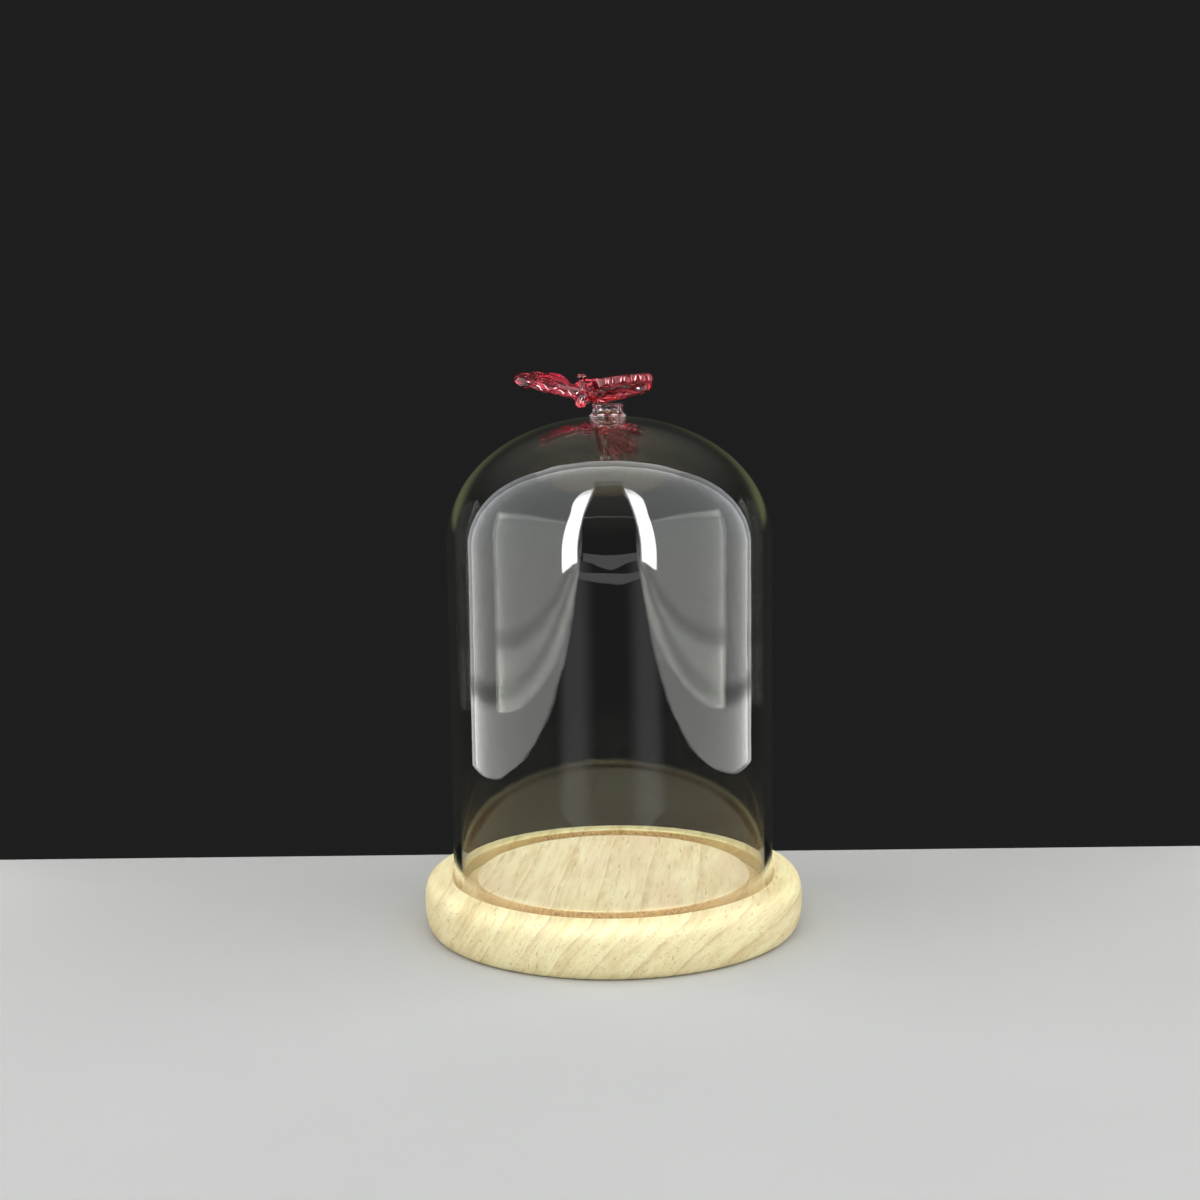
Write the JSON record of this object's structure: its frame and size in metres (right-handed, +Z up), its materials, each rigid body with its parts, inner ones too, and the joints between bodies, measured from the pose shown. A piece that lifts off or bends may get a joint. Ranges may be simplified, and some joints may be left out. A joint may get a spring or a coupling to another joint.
{
  "type": "bell jar display dome",
  "caption": "Glass bell jar with a red glass butterfly finial on a clear stem, standing in the groove of a turned pale wooden base.",
  "frame": {"origin": "centre of the base's flat underside", "axes": "+Z up along the common axis of the base and the bell; -Y is the front that faces the viewer"},
  "size_m": [0.135, 0.135, 0.1985],
  "materials": {
    "wood": "pale close-grained wood, turned and sanded, left unvarnished",
    "clear_glass": "clear blown glass with a faint yellow-green tint at its edges",
    "red_glass": "ruby red glass, flame worked, with pressed ribs"
  },
  "bodies": {
    "base": {"wooden_base": "wood"},
    "bell": {"glass_dome": "clear_glass", "finial_stem": "clear_glass", "butterfly_body": "red_glass", "forewing_right": "red_glass", "forewing_left": "red_glass", "hindwing_right": "red_glass", "hindwing_left": "red_glass", "antenna_right": "red_glass", "antenna_left": "red_glass"}
  },
  "joints": [
    {"name": "dome_lift", "type": "slide", "parent": "base", "child": "bell", "axis": [0, 0, 1], "range_m": [0, 0.17]}
  ]
}
